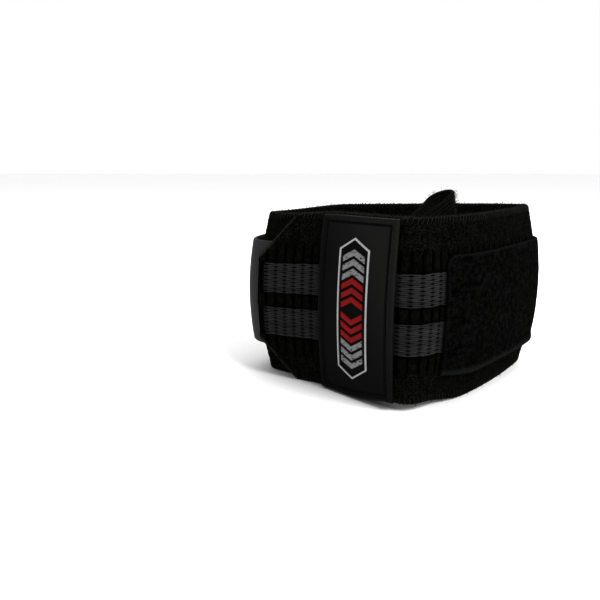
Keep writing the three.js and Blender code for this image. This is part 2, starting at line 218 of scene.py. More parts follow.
def slab(front, back):
    # two grids of points that share their rim make one closed skin
    rows, columns = front.shape[:2]
    face = np.arange(rows * columns).reshape(rows, columns)
    rear = face.copy()
    rear[1:-1, 1:-1] = rows * columns + np.arange((rows - 2) * (columns - 2)).reshape(rows - 2, columns - 2)
    points = np.concatenate([front.reshape(-1, 3), back[1:-1, 1:-1].reshape(-1, 3)])
    return points, np.vstack([quadsOf(face), quadsOf(rear)[:, ::-1]])


def bothFaces(front, back):
    # one value per point of a slab
    return np.concatenate([front.ravel(), back[1:-1, 1:-1].ravel()])


def placesOn(distance, height, apart):
    # a slab's places for its patterns, the back's moved along so that its faces differ
    return np.stack([bothFaces(distance, distance + apart), bothFaces(height, height)], -1)


def addPiece(name, points, faces, finish, values=None, pattern=None, replaces=()):
    # a closed mesh with its faces turned outwards, its patterns' places as UVs and its masks as attributes
    parts = [faces] if isinstance(faces, np.ndarray) else faces
    a, b, c, d = (points[parts[0][:, i]] for i in range(4))
    volume = np.einsum("ij,ij->", a, np.cross(b, c)) + np.einsum("ij,ij->", a, np.cross(c, d))
    listed = [face for part in parts for face in (part[:, ::-1] if volume < 0 else part).tolist()]
    mesh = bpy.data.meshes.new(name)
    mesh.from_pydata(points.tolist(), [], listed)
    mesh.polygons.foreach_set("use_smooth", np.ones(len(listed), bool))
    if pattern is not None:
        order = np.zeros(len(mesh.loops), int)
        mesh.loops.foreach_get("vertex_index", order)
        flat = (pattern * mm)[order].ravel().astype(np.float32)
        mesh.uv_layers.new(name="UVMap").data.foreach_set("uv", flat)
    for key, value in (values or {}).items():
        mask = mesh.attributes.new(key, "FLOAT", "POINT")
        mask.data.foreach_set("value", np.asarray(value, np.float32).ravel())
    mesh.materials.append(finish)
    mesh.validate()
    piece = bpy.data.objects.new(name, mesh)
    bpy.context.scene.collection.objects.link(piece)
    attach(piece, "root")
    if replaces:
        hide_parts(*replaces)
    print("made", name, len(listed), "faces")
    return piece


def roundOff(inside, radius):
    # a quarter circle's rise from a rim inwards
    return np.sqrt(np.clip(1 - (1 - np.clip(inside / radius, 0, 1)) ** 2, 0, 1))


rimShares = np.array([0, 0.06, 0.25, 0.55, 1])


def rimmed(start, end, radius, step):
    # places from start to end, close together inside both rims
    near = radius * rimShares
    count = max(2, round((end - start - 2 * radius) / step))
    middle = np.linspace(start + radius, end - radius, count)[1:-1]
    return np.concatenate([start + near, middle, (end - near)[::-1]])


grainEnds = 0.86


def seeds(route, distance, height, angle, size, base, side=1, shape=0.5, rings=5, around=6):
    # many small closed grains laid on a strip: each is a spindle of the given length, width and thickness
    share = np.linspace(-grainEnds, grainEnds, rings)
    turn = np.linspace(0, 2 * math.pi, around, endpoint=False)
    full = (1 - share * share) ** shape
    x = np.concatenate([np.repeat(share, around), [-1, 1]])
    y = np.concatenate([np.outer(full, np.cos(turn)).ravel(), [0, 0]])
    z = np.concatenate([np.outer(full, np.sin(turn)).ravel(), [0, 0]])
    x, y, z = x * size[0] / 2, y * size[1] / 2, z * size[2] / 2
    cos, sin = np.cos(angle)[:, None], np.sin(angle)[:, None]
    ways, levels = distance[:, None] + x * cos - y * sin, height[:, None] + x * sin + y * cos
    points = route.place(ways, base + side * z + 0 * cos, levels)
    index = np.arange(rings * around).reshape(rings, around)
    index = np.hstack([index, index[:, :1]])
    quads = quadsOf(index)
    poles = rings * around + np.array([0, 1])
    caps = np.vstack([
        np.stack([index[0, 1:], index[0, :-1], np.full(around, poles[0])], -1)[:, ::-1],
        np.stack([index[-1, :-1], index[-1, 1:], np.full(around, poles[1])], -1)[:, ::-1],
    ])
    shift = (np.arange(len(distance)) * len(x))[:, None, None]
    ownShare = np.broadcast_to(x / size[0] * 2, points.shape[:2])
    faces = [(quads + shift).reshape(-1, 4), (caps + shift).reshape(-1, 3)]
    return points.reshape(-1, 3), faces, ownShare.ravel()


def tubeFaces(count, steps, sides):
    # the faces of many tubes with as many steps and sides each, numbered one tube after another
    index = np.arange(steps * sides).reshape(steps, sides)
    quads = quadsOf(np.hstack([index, index[:, :1]]))
    ends = np.stack([index[0], index[-1, ::-1]])
    shift = (np.arange(count) * steps * sides)[:, None, None]
    return [(quads + shift).reshape(-1, 4), (ends + shift).reshape(-1, sides)]


def tubes(paths, across, radius, sides=5):
    # many threads at once: circles carried along each path, their planes turned by the direction across it
    ahead = unit(np.gradient(paths, axis=1))
    out = unit(np.cross(ahead, across))
    level = np.cross(out, ahead)
    turn = np.linspace(0, 2 * math.pi, sides, endpoint=False)
    circle = np.cos(turn)[:, None] * out[:, :, None] + np.sin(turn)[:, None] * level[:, :, None]
    points = paths[:, :, None] + radius * mm * circle
    return points.reshape(-1, 3), tubeFaces(*paths.shape[:2], sides)


hair = {"steps": 4, "sides": 3, "shortest": 0.4, "bend": 0.7}


def fibres(name, roots, aims, length, radius, seed):
    # fine short hairs that bend as they stand off the cloth
    chance = np.random.default_rng(seed)
    bend = unit(chance.normal(0, 1, roots.shape))
    share = np.linspace(0, 1, hair["steps"])[:, None]
    own = length * chance.uniform(hair["shortest"], 1, len(roots))[:, None, None] * mm
    paths = roots[:, None] + (aims[:, None] * share + bend[:, None] * share ** 2 * hair["bend"]) * own
    paths[..., 2] = np.maximum(paths[..., 2], radius * mm)
    across = unit(chance.normal(0, 1, roots.shape))[:, None] + 0 * paths
    points, faces = tubes(paths, across, radius, hair["sides"])
    return addPiece(name, points, faces, fuzzFinish)


# finishes
class Link:
    # a shader value that plain maths can be written with
    def __init__(self, finish, socket):
        self.finish, self.socket = finish, socket

    def reckon(self, operation, first, second):
        return self.finish.node("ShaderNodeMath", {"operation": operation}, {0: first, 1: second})

    def __add__(self, other):
        return self.reckon("ADD", self, other)

    def __sub__(self, other):
        return self.reckon("SUBTRACT", self, other)

    def __rsub__(self, other):
        return self.reckon("SUBTRACT", other, self)

    def __mul__(self, other):
        return self.reckon("MULTIPLY", self, other)

    __radd__, __rmul__ = __add__, __mul__

    def between(self, low, high):
        # an even S from nought at low to one at high
        ends = {0: self, 1: low, 2: high}
        return self.finish.node("ShaderNodeMapRange", {"interpolation_type": "SMOOTHSTEP"}, ends)


class Finish:
    def __init__(self, name, **fixed):
        self.material = bpy.data.materials.new(name)
        self.material.use_nodes = True
        self.tree = self.material.node_tree
        self.tree.nodes.clear()
        self.surface = self.tree.nodes.new("ShaderNodeBsdfPrincipled")
        output = self.tree.nodes.new("ShaderNodeOutputMaterial")
        self.tree.links.new(self.surface.outputs[0], output.inputs[0])
        for key, value in fixed.items():
            self.surface.inputs[key.replace("_", " ")].default_value = value

    def node(self, kind, settings=None, inputs=None, output=0):
        made = self.tree.nodes.new(kind)
        for key, value in (settings or {}).items():
            setattr(made, key, value)
        for key, value in (inputs or {}).items():
            if isinstance(value, Link):
                self.tree.links.new(value.socket, made.inputs[key])
            else:
                made.inputs[key].default_value = value
        return Link(self, made.outputs[output])

    def pattern(self, across=1.0, up=1.0):
        # places on the cloth, in metres, drawn out where a pattern is longer one way
        places = self.node("ShaderNodeUVMap", {"uv_map": "UVMap"})
        return self.node("ShaderNodeMapping", {}, {"Vector": places, "Scale": (across, up, 1)})

    def inSpace(self):
        return self.node("ShaderNodeTexCoord", output=3)

    def mask(self, name):
        return self.node("ShaderNodeAttribute", {"attribute_name": name}, output=2)

    def noise(self, where, size, detail=3.0, rough=0.55):
        inputs = {"Vector": where, "Scale": 1 / (size * mm), "Detail": detail, "Roughness": rough}
        return self.node("ShaderNodeTexNoise", {}, inputs)

    def cells(self, where, size):
        return self.node("ShaderNodeTexVoronoi", {}, {"Vector": where, "Scale": 1 / (size * mm)})

    def waves(self, where, direction, scale, distortion, detail):
        # thread beside thread
        inputs = {"Vector": where, "Scale": scale, "Distortion": distortion, "Detail": detail}
        return self.node("ShaderNodeTexWave", {"bands_direction": direction}, inputs)

    def blend(self, share, low, high):
        # two colours by a share
        full = lambda c: c if isinstance(c, Link) else (*c, 1)
        return self.node("ShaderNodeMix", {"data_type": "RGBA"}, {0: share, 6: full(low), 7: full(high)}, 2)

    def relief(self, height, depth, strength=1.0):
        inputs = {"Height": height, "Distance": depth * mm, "Strength": strength}
        return self.node("ShaderNodeBump", {}, inputs)

    def wears(self, colour, rough=None, bumps=None):
        for key, value in (("Base Color", colour), ("Roughness", rough), ("Normal", bumps)):
            if value is not None:
                self.tree.links.new(value.socket, self.surface.inputs[key])
        return self.material


def grey(value, warm=0.0):
    return (value * (1 + warm), value, value * (1 - warm))


def dyed(value):
    # the faintly olive black of the cloth
    return (value * 0.97, value, value * 0.8)


def wovenCloth():
    # fuzzy black yarn: rib crests paler from fuzz and painted light, painted shade down in the grooves, paler
    # where it is rubbed, curly and speckled in the borders
    made = Finish("woven_cloth", Sheen_Weight=0.015, Sheen_Roughness=0.6, Specular_IOR_Level=0.03)
    cloth = made.pattern()
    high, border, rubbed = made.mask("high"), made.mask("border"), made.mask("rubbed")
    streak = made.noise(made.pattern(1, 0.3), 0.7, 3, 0.65)
    fibre = streak + border * (made.noise(cloth, 0.8, 4, 0.75) - streak)
    mottle = made.noise(cloth, 3.2, 4, 0.65)
    speck = made.noise(cloth, 0.5, 2, 0.6).between(0.52, 0.66)
    curls = made.cells(cloth, 1.1)
    curled = border * (1 - curls * 1.4)
    pale = high * 0.6 + fibre * 0.7 + mottle * 0.5 + speck * (0.1 + border * 0.6) + curled * 0.45 - 1
    colour = made.blend((pale + rubbed * 0.9).between(0, 0.9), dyed(0.001), dyed(0.06))
    height = curled * 1.3 + fibre * 0.9 + speck * 0.5
    return made.wears(colour, 0.97 - speck * 0.1, made.relief(height, 0.6, 0.9))


def mattedCurls():
    # loose yarn ends, each its own tone, with a painted highlight along the middle of each
    made = Finish("matted_curls", Specular_IOR_Level=0.05, Sheen_Weight=0.02)
    fibre = made.noise(made.inSpace(), 0.3, 2)
    lit = made.mask("high") * 0.8 + fibre * 0.6 - 0.3
    colour = made.blend(lit.between(0, 1), dyed(0.001), dyed(0.028))
    return made.wears(colour, 0.95 - fibre * 0.1)


def chainThread():
    # flat grey filament yarn, streaked lengthwise, with painted shade where it draws together and dives into
    # the grooves
    made = Finish("chain_thread", Specular_IOR_Level=0.25, Sheen_Weight=0.05)
    streak = made.noise(made.pattern(0.25, 1), 0.3, 3, 0.6)
    fleck = made.noise(made.pattern(), 0.5, 3, 0.6)
    lit = made.mask("high") * 0.5 + made.mask("tone") * 0.15 + streak * 0.6 + fleck * 0.3 - 0.5
    colour = made.blend(lit.between(0, 1), grey(0.006), grey(0.098, -0.01))
    bumps = made.relief(streak + fleck * 0.5, 0.15, 0.7)
    return made.wears(colour, 0.7 - streak * 0.15, bumps)


def mouldedRubber():
    # satin dark rubber with a fine mould grain, a painted highlight along the rim speckled by dust noise,
    # painted light that grows lighter towards the top and one end, and a painted shadow in the sunk seam
    # channel
    made = Finish("moulded_rubber", Specular_IOR_Level=0.2)
    cloth = made.pattern()
    broad, fine = made.noise(cloth, 14, 3), made.noise(cloth, 0.35, 2)
    dustAndGlint = made.noise(cloth, 1.1, 4, 0.7).between(0.5, 0.75)
    rim, ground, sunk = made.mask("rim"), made.mask("ground"), made.mask("sunk")
    # painted light: lighter towards the top and towards the patch's start
    paintedLightRamp = made.mask("paintedLightRamp") * 0.9 + broad * 0.2 - 0.1
    colour = made.blend(paintedLightRamp.between(0, 1), grey(0.004, 0.02), grey(0.03, 0.03))
    # a painted highlight along the raised rim, broken up by the dust noise
    colour = made.blend(rim * (0.3 + dustAndGlint * 0.5), colour, grey(0.022))
    colour = made.blend(ground, colour, grey(0.0022))
    colour = made.blend(sunk, colour, grey(0.002))
    rough = 0.5 + broad * 0.12 + dustAndGlint * 0.08
    return made.wears(colour, rough, made.relief(fine + dustAndGlint * 0.5, 0.05, 0.5))


def printedRubber(name, colour, worn, wear):
    # raised moulded colour, scuffed through to the dark ground in patches and scratches
    made = Finish(name, Specular_IOR_Level=0.35)
    cloth = made.pattern()
    scuff = made.noise(cloth, 1.6, 5, 0.7)
    scratch = made.noise(made.pattern(0.35, 1.4), 0.9, 3, 0.6)
    gone = (scuff * 0.65 + scratch * 0.5).between(0.75 - wear, 0.86 - wear)
    face = made.blend(made.noise(cloth, 5, 2), colour, tuple(0.72 * c for c in colour))
    bumps = made.relief(gone * -0.6 + scuff * 0.3, 0.1, 0.5)
    return made.wears(made.blend(gone, face, worn), 0.45 + gone * 0.3, bumps)


def loopVelour():
    # brushed loop pile: soft dark mottles where it lies different ways, fine grain and a few pale fibres
    made = Finish("loop_velour", Sheen_Weight=0.01, Sheen_Roughness=0.5, Specular_IOR_Level=0.02)
    cloth = made.pattern()
    broad = made.noise(cloth, 9, 3, 0.6)
    mottle = made.noise(cloth, 2.6, 5, 0.72)
    pile = made.noise(cloth, 0.5, 3, 0.7)
    lint = made.noise(made.pattern(1, 0.5), 1.1, 3, 0.5).between(0.68, 0.8)
    blotch = made.noise(cloth, 2.6, 4, 0.7).between(0.36, 0.62)
    lit = broad * 0.4 + blotch * 0.3 + mottle * 0.9 + pile * 1.4 - 1.2
    lighter = made.blend(made.noise(cloth, 14, 2).between(0.4, 0.6), dyed(0.021), grey(0.023))
    colour = made.blend(lit.between(0, 0.9), dyed(0.0005), lighter)
    colour = made.blend(lint * 0.5, colour, grey(0.03))
    colour = made.blend(made.mask("selvedge") * (0.35 + pile * 0.5), colour, grey(0.045, -0.05))
    bumps = made.relief(mottle * 1.2 + pile * 0.8, 0.5, 0.8)
    return made.wears(colour, 0.98 - lint * 0.08, bumps)


def hookTape():
    # smooth woven tape with a fine cross weave
    made = Finish("hook_tape", Specular_IOR_Level=0.3, Sheen_Weight=0.05)
    cloth = made.pattern()
    weft, warp = made.waves(cloth, "X", 300, 0.6, 1), made.waves(cloth, "Y", 420, 0.4, 1)
    fibre = made.noise(cloth, 0.8, 3)
    colour = made.blend((weft * 0.3 + warp * 0.25 + fibre * 0.6).between(0.2, 1), grey(0.04), grey(0.09))
    bumps = made.relief(weft * 0.6 + warp * 0.5, 0.1, 0.6)
    return made.wears(colour, 0.6 + fibre * 0.15, bumps)


def ribbedElastic():
    # narrow braided elastic: lengthwise ridges crossed by fine weft, with painted shade in the grooves
    # between the ridges
    made = Finish("ribbed_elastic", Sheen_Weight=0.08, Sheen_Roughness=0.5, Specular_IOR_Level=0.1)
    cloth = made.pattern()
    weft = made.waves(cloth, "X", 220, 1.5, 2)
    fibre = made.noise(cloth, 0.6, 4, 0.65)
    lit = made.mask("high") * 0.4 + weft * 0.1 + fibre * 0.9 - 0.45
    colour = made.blend(lit.between(0, 1), dyed(0.0015), dyed(0.06))
    bumps = made.relief(weft * 0.3 + fibre, 0.35, 0.8)
    return made.wears(colour, 0.92 - fibre * 0.1, bumps)


def sewingThread(name, low, high):
    # twisted thread
    made = Finish(name, Specular_IOR_Level=0.2)
    twist = made.noise(made.inSpace(), 0.3, 2)
    colour = made.blend(twist, grey(low), grey(high))
    return made.wears(colour, 0.75 - twist * 0.1, made.relief(twist, 0.1, 0.6))


clothFinish, curlFinish, threadFinish = wovenCloth(), mattedCurls(), chainThread()
rubberFinish = mouldedRubber()
whiteFinish = printedRubber("white_print", grey(0.5), grey(0.02), -0.06)
redFinish = printedRubber("red_print", (0.32, 0.008, 0.01), (0.02, 0.004, 0.004), 0.08)
greyFinish = printedRubber("grey_print", grey(0.32), grey(0.004), 0.15)
velourFinish, tapeFinish, elasticFinish = loopVelour(), hookTape(), ribbedElastic()
fuzzFinish = sewingThread("loose_fibres", 0.008, 0.04)
sewingFinish = sewingThread("sewing_thread", 0.004, 0.016)
overcastFinish = sewingThread("overcast_thread", 0.012, 0.055)
print("finishes made")

# the woven band: cross ribs between two borders, with two flat stripes sunk for the chain yarn
ribs = round(bandRoute.length / band["pitch"])
pitch = bandRoute.length / ribs
faceReach = lengthOf(bandRoute.place(bandRoute.travelled, crest, band["width"] / 2)) / mm
stretch = np.gradient(faceReach, bandRoute.travelled)
window = np.hanning(2 * band["evenOver"] + 1)
nearby = np.convolve(np.pad(stretch, band["evenOver"], "edge"), window / window.sum(), "valid")
evenReach = np.concatenate([[0], np.cumsum((stretch / nearby)[1:] * np.diff(bandRoute.travelled))])
evenReach *= bandRoute.length / evenReach[-1]
stripeLow = band["border"] + band["ribStrip"]
stripes = [(stripeLow, stripeLow + band["stripe"]),
           (band["width"] - stripeLow - band["stripe"], band["width"] - stripeLow)]


def tipCut(distance):
    # how much the tapered end has lost at each edge
    narrowed = np.clip(1 - (bandRoute.length - distance) / band["taper"], 0, 1)
    return (band["width"] - band["tip"]) / 2 * narrowed


def stationsOf(shares):
    # places along the band at the same shares of every rib
    passed = (np.arange(ribs)[:, None] + np.array(shares)).ravel() * pitch
    return np.interp(passed, evenReach, bandRoute.travelled)


def ribPhase(distance):
    # ribs passed so far, evened out where the face is drawn out round a bend
    return np.interp(distance, bandRoute.travelled, evenReach) / pitch


def inStripe(height, soft=0.35):
    above = lambda line: smooth(height, line - soft, line + soft)
    return sum(above(low) - above(high) for low, high in stripes)


def weave(distance, height, seed):
    # how high the cloth's face stands: rounded ribs, matted borders and sunk stripes
    phase = ribPhase(distance)
    fromGroove = np.abs(np.mod(phase + 0.5, 1) - 0.5)
    crown = 1 - band["crown"] + band["crown"] * np.sin(math.pi * phase) ** 2
    rib = smooth(fromGroove, band["grooveFrom"], band["grooveEnd"]) * crown
    nearBorder = np.minimum(height, band["width"] - height) - band["border"]
    nth = np.floor(phase)
    uneven = band["uneven"] * np.cos(math.pi * nth) + 0.5 * grain(nth * 7.3, height * 0, 1, seed)
    ribbed = smooth(nearBorder + uneven - band["meet"] * (1 - rib), -band["meet"], band["meetEnd"])
    border = 1 - ribbed
    stripe = inStripe(height)
    fuzz = grain(distance, height, 1.9, seed + 1)
    ribFace = crest - band["groove"] * (1 - rib) + band["ribFuzz"] * fuzz * rib
    borderFace = band["borderFace"] + band["borderFuzz"] * fuzz
    face = mixed(mixed(ribFace, borderFace, border), band["stripeFace"], stripe)
    # high: rib crests paler, with painted shade in the grooves and on the sunk stripes
    high = mixed(mixed(rib, 0.6 + 0.25 * fuzz, border), 0, stripe)
    return face, high, border * (1 - stripe)


stationRows = np.unique(np.concatenate([
    stationsOf(band["stations"]), [0.06, 0.3], bandRoute.length - np.array([0.06, 0.3]), [bandRoute.length],
]))
heightRows = rimmed(0, band["width"], band["edge"], band["rowStep"])
d, v = np.meshgrid(stationRows, heightRows, indexing="ij")
cut = tipCut(d)
h = cut + v * (1 - 2 * cut / band["width"])
inside = np.minimum(h - cut, band["width"] - cut - h)
body = roundOff(inside, band["edge"]) * roundOff(np.minimum(d, bandRoute.length - d), band["endRound"])
frontFace, frontHigh, frontBorder = weave(d, h, 11)
backFace, backHigh, backBorder = weave(d, h, 23)
hem = smooth(bandRoute.length - d, band["taper"] + band["hemRun"], band["taper"] - band["hemRun"])
hem = hem * (1 - smooth(inside, *band["hemWidth"]))
frontFace = mixed(frontFace, crest, hem)
rubbed = np.maximum(band["rimRubbed"] * (1 - smooth(inside, 0.4, 1)), band["hemRubbed"] * hem)
points, faces = slab(bandRoute.place(d, frontFace * body, h), bandRoute.place(d, -backFace * body, h))
masks = {
    "high": bothFaces(frontHigh, backHigh), "border": bothFaces(frontBorder, backBorder),
    "rubbed": bothFaces(rubbed, rubbed),
}
elasticPiece = addPiece(
    "elastic_weave", points, faces, clothFinish, masks, placesOn(d, h, 500), ["elastic_band"],
)

# matted yarn of the borders: short curls lying every way
curls = {
    "across": 1.25, "up": 1.05, "size": (1.5, 0.5, 0.45), "lie": 0.9, "turned": 0.35, "stand": 0.02,
    "uneven": 0.08, "edge": 1.6, "end": 2, "inner": 0.4, "astray": (0.5, 0.4),
}


def borderCurls(name, side, top, seed):
    chance = np.random.default_rng(seed)
    across = np.arange(curls["end"], bandRoute.length - band["taper"] - curls["end"], curls["across"])
    up = np.arange(curls["edge"], band["border"] - curls["inner"], curls["up"])
    a, b = (grid.ravel() for grid in np.meshgrid(across, up))
    a, b = (grid + chance.uniform(-far, far, len(grid)) for grid, far in zip((a, b), curls["astray"]))
    leaning = np.where(np.floor(b / curls["up"]) % 2, 1, -1)
    lie = leaning * curls["lie"] + chance.normal(0, curls["turned"], len(a))
    height = band["width"] - b if top else b
    face = band["borderFace"] + curls["stand"]
    base = side * (face + chance.uniform(-curls["uneven"], curls["uneven"], len(a)))
    points, faces, share = seeds(
        bandRoute, a, height, lie, curls["size"], base[:, None], side, rings=3, around=4,
    )
    each = len(share) // len(a)
    # high: each curl's own tone plus a painted highlight along its middle, fading to its ends
    high = 0.5 + 0.35 * np.repeat(chance.uniform(-1, 1, len(a)), each) + 0.3 * (1 - share * share)
    places = np.stack([np.repeat(a, each), np.repeat(height, each)], -1)
    return addPiece(name, points, faces, curlFinish, {"high": high}, places)


borderCurls("border_curls_outer_top", 1, True, 51)
borderCurls("border_curls_outer_bottom", 1, False, 52)
borderCurls("border_curls_inner_top", -1, True, 53)

# chain yarn of the stripes: flat strands side by side that draw together in pairs at each groove, in turns
chain = {
    "strands": 16, "width": 0.8, "thickness": 0.75, "base": 0.9, "sway": 0.2, "kink": 6, "dive": 0.1,
    "wander": 0.05, "hem": 2.5, "tuck": 1.5, "tuckDrop": 0.5, "tuckWidth": 0.3,
}


def chainStrands(name, side, shares, sides, seed):
    chance = np.random.default_rng(seed)
    column = band["stripe"] / chain["strands"]
    middles = np.concatenate([low + (np.arange(chain["strands"]) + 0.5) * column for low, _ in stripes])
    number = np.concatenate([np.arange(chain["strands"])] * 2)
    distance = stationsOf(shares)
    distance = distance[(distance > chain["hem"]) & (distance < bandRoute.length - chain["hem"])]
    d = np.broadcast_to(distance, (len(middles), len(distance)))
    turned = np.cos(math.pi * ribPhase(d))
    kink = np.abs(turned) ** chain["kink"]
    wander = chain["wander"] * grain(d, middles[:, None] * 9, 4, seed + 1)
    swayed = chain["sway"] * np.sign(turned) * kink * np.where(number % 2, 1, -1)[:, None]
    centre = middles[:, None] + swayed + wander
    tuck = smooth(np.minimum(d - distance[0], distance[-1] - d), 0, chain["tuck"])
    out = chain["base"] - chain["dive"] * kink - chain["tuckDrop"] * (1 - tuck)
    half = chain["width"] / 2 * mixed(chain["tuckWidth"], 1, tuck)
    turn = np.linspace(0, 2 * math.pi, sides, endpoint=False) + math.pi / 2
    x, y = np.cos(turn), np.sin(turn)
    offset = side * (out[..., None] + chain["thickness"] / 2 * y)
    points = bandRoute.place(d[..., None], offset, centre[..., None] + half[..., None] * x)
    faces = tubeFaces(len(middles), len(distance), sides)
    # high: painted shade where the strands draw together and dive into each groove
    high = (1 - 0.5 * kink)[..., None] * np.ones(sides)
    tone = np.broadcast_to(chance.uniform(0, 1, len(middles))[:, None, None], high.shape)
    places = np.stack([d[..., None] + 0 * high, centre[..., None] + half[..., None] * x], -1).reshape(-1, 2)
    masks = {"high": high, "tone": tone}
    return addPiece(name, points.reshape(-1, 3), faces, threadFinish, masks, places)


chainStrands("chain_yarn_outer", 1, (0, 0.07, 0.16, 0.34, 0.66, 0.84, 0.93), 5, 31)
chainStrands("chain_yarn_inner", -1, (0, 0.12, 0.5, 0.88), 4, 37)

# overcast thread over both long edges
overcast = {
    "pitch": 1.75, "reach": 1.9, "radius": 0.2, "slant": 0.9, "steps": 9,
    "end": 2, "bend": 0.5, "inward": 0.3,
}


def overcastEdge(name, top):
    count = int((bandRoute.length - band["taper"] - 2 * overcast["end"]) / overcast["pitch"])
    distance = overcast["end"] + np.arange(count) * overcast["pitch"]
    turn = np.linspace(-1, 1, overcast["steps"])
    flat = np.clip(np.abs(turn) - overcast["bend"], 0, 1) / (1 - overcast["bend"])
    bend = np.clip(turn / overcast["bend"], -1, 1) * math.pi / 2
    radius = band["edge"] + overcast["radius"] / 2
    offset = np.sin(bend) * radius * np.ones((count, 1)) - np.sign(turn) * flat ** 2 * overcast["inward"]
    into = band["edge"] - np.cos(bend) * radius + flat * overcast["reach"]
    height = (band["width"] - into if top else into + overcast["radius"] * 1.5) * np.ones((count, 1))
    ways = distance[:, None] + overcast["slant"] * turn
    paths = bandRoute.place(ways, offset, height)
    across = unit(bandRoute.place(ways + 0.5, offset, height) - bandRoute.place(ways - 0.5, offset, height))
    points, faces = tubes(paths, across, overcast["radius"])
    return addPiece(name, points, faces, overcastFinish)


overcastEdge("overcast_top", True)
overcastEdge("overcast_bottom", False)

# loose fibres along the edges and over the borders
loose = {
    "edge": 1800, "face": 1600, "length": 1, "radius": 0.055, "end": 2, "rim": 0.4, "sink": 0.1, "turn": 0.5,
}


def bandFuzz(name, count, top, seed):
    chance = np.random.default_rng(seed)
    distance = chance.uniform(loose["end"], bandRoute.length - band["taper"] - loose["end"], count)
    rim = np.arange(count) % 2 == 0
    offset = np.where(rim, chance.uniform(-loose["rim"], loose["rim"], count), band["borderFace"])
    into = np.where(rim, loose["sink"], chance.uniform(1, band["border"], count))
    height = band["width"] - into if top else into
    roots = bandRoute.place(distance, offset, height)
    away = unit(bandRoute.place(distance, offset + 1, height) - roots)
    upward = unit(bandRoute.place(distance, offset, height + 1) - roots) * top
    aims = np.where(rim[:, None], upward, away) + chance.normal(0, loose["turn"], (count, 3))
    return fibres(name, roots, unit(aims), loose["length"], loose["radius"], seed)


bandFuzz("band_fuzz_top", loose["edge"], True, 61)
bandFuzz("band_fuzz_bottom", loose["face"], False, 62)

# the rubber patch: raised rim, sunk seam channel and the badge's darker ground
rubber = {"rim": 1.3, "rise": 0.5, "slope": 0.5, "channel": 2.7, "channelWidth": 1.3, "channelDepth": 0.45,
          "round": 0.45, "step": 1.1, "fine": 0.22, "edgeZone": 5}
badge = {"length": 60, "width": 15.5, "line": 0.9, "rise": 0.6, "point": 5, "gap": 1.1, "margin": 1.2,
         "chevron": 3, "reds": 3, "greys": 3, "soft": 0.3}
seatOffset = crest + ring["seatGap"]
patchFace = seatOffset + patch["thickness"]
patchMiddle = (patchStart + patchEnd) / 2


def graded(size):
    # places across the patch, close together near its edges where the rim and the channel lie
    near = np.concatenate([[0, 0.03, 0.1, 0.22], np.arange(0.45, rubber["edgeZone"], rubber["fine"])])
    count = max(3, round((size - 2 * near[-1]) / rubber["step"]))
    middle = np.linspace(near[-1], size - near[-1], count)[1:-1]
    return np.concatenate([near, middle, (size - near)[::-1]])


def inBadge(across, up, inset):
    half, tip = badge["width"] / 2 - inset, badge["length"] / 2 - inset * 1.2
    slope = badge["point"] / (badge["width"] / 2)
    toPoint = (tip - np.abs(up) - np.abs(across) * slope) / math.hypot(1, slope)
    return np.minimum(half - np.abs(across), toPoint)


a, b = np.meshgrid(graded(patch["width"]), graded(patch["height"]), indexing="ij")
edge = np.minimum(np.minimum(a, patch["width"] - a), np.minimum(b, patch["height"] - b))
rimHeight = rubber["rise"] * (1 - smooth(edge, rubber["rim"], rubber["rim"] + rubber["slope"]))
channel = np.clip(1 - np.abs(edge - rubber["channel"]) / rubber["channelWidth"] * 2, 0, 1)
channel = smooth(channel, 0, 0.8)
ground = smooth(inBadge(patch["width"] / 2 - a, b - patch["height"] / 2, badge["line"]), -0.4, 0.1)
face = patchFace + rimHeight - rubber["channelDepth"] * channel - 0.1 * ground
rounding = roundOff(edge, rubber["round"])
middleOffset = (seatOffset + patchFace) / 2
low = (band["width"] - patch["height"]) / 2
points, faces = slab(
    bandRoute.place(patchStart + a, mixed(middleOffset, face, rounding), low + b),
    bandRoute.place(patchStart + a, mixed(middleOffset, seatOffset, rounding), low + b),
)
none = np.zeros_like(a)
# painted light: lighter towards the top and towards the patch's start
paintedLightRamp = smooth(0.55 * (1 - a / patch["width"]) + 0.6 * b / patch["height"], 0.3, 1.1)
masks = {
    # the rim mask is a painted highlight along the raised rim
    "rim": bothFaces(1 - smooth(edge, 0.9, 1.6), none), "ground": bothFaces(ground, none),
    "sunk": bothFaces(channel, none), "paintedLightRamp": bothFaces(paintedLightRamp, none),
}
addPiece(
    "patch_moulding", points, faces, rubberFinish, masks, placesOn(a, b, 100),
    ["rubber_patch"],
)

# seam stitches in the patch's channel
seam = {"pitch": 2.9, "length": 2.2, "width": 0.6, "thickness": 0.55, "shape": 0.35, "stand": 0.12}


def patchSeam():
    inset = rubber["channel"]
    wide, tall = patch["width"] - 2 * inset, patch["height"] - 2 * inset
    runs = []
    for x, y, across, size in (
        (inset, inset, 1, wide), (inset, patch["height"] - inset, 1, wide),
        (inset, inset, 0, tall), (patch["width"] - inset, inset, 0, tall),
    ):
        count = round(size / seam["pitch"])
        places = (np.arange(count) + 0.5) * size / count
        angle = (1 - across) * math.pi / 2 + 0 * places
        runs.append(np.stack([x + across * places, y + (1 - across) * places, angle], -1))
    across, up, angle = np.concatenate(runs).T
    size = (seam["length"], seam["width"], seam["thickness"])
    base = patchFace - rubber["channelDepth"] + seam["stand"]
    points, faces, _ = seeds(
        bandRoute, patchStart + across, low + up, angle, size, base, shape=seam["shape"],
    )
    return addPiece("patch_seam", points, faces, sewingFinish)


patchSeam()

# the badge: a white line round it, red chevrons in its middle and grey ones towards its points
badgeSeat = patchFace - 0.1


def onPatch(across, up, rise):
    return bandRoute.place(patchMiddle - across, badgeSeat + rise, band["width"] / 2 + up)


